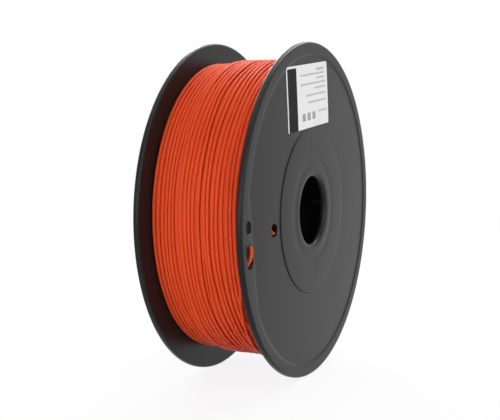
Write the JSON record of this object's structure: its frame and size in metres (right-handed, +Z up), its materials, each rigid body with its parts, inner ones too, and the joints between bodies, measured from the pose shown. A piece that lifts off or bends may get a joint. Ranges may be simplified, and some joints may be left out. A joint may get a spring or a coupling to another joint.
{
  "type": "filament spool",
  "caption": "Black moulded spool with two wide flanges and a round spindle bore, wound full of orange plastic filament, with a small paper label.",
  "frame": {"origin": "centre of the spool, on its axis, half way between the flanges", "axes": "+Y along the spool's axis towards the rear flange, so the labelled face looks along -Y; +Z up, with the spool standing on its rims; +X to the right of the labelled face"},
  "size_m": [0.1998, 0.0678, 0.1998],
  "materials": {
    "spool_plastic": "black moulded plastic, satin",
    "filament_plastic": "orange-red extruded plastic, semi-gloss",
    "label_paper": "white coated paper"
  },
  "bodies": {
    "root": {"front_flange": "spool_plastic", "rear_flange": "spool_plastic", "front_core_half": "spool_plastic", "rear_core_half": "spool_plastic", "filament_inner_layers": "filament_plastic", "filament_outer_layer": "filament_plastic", "filament_start_end": "filament_plastic", "label": "label_paper"}
  },
  "joints": []
}
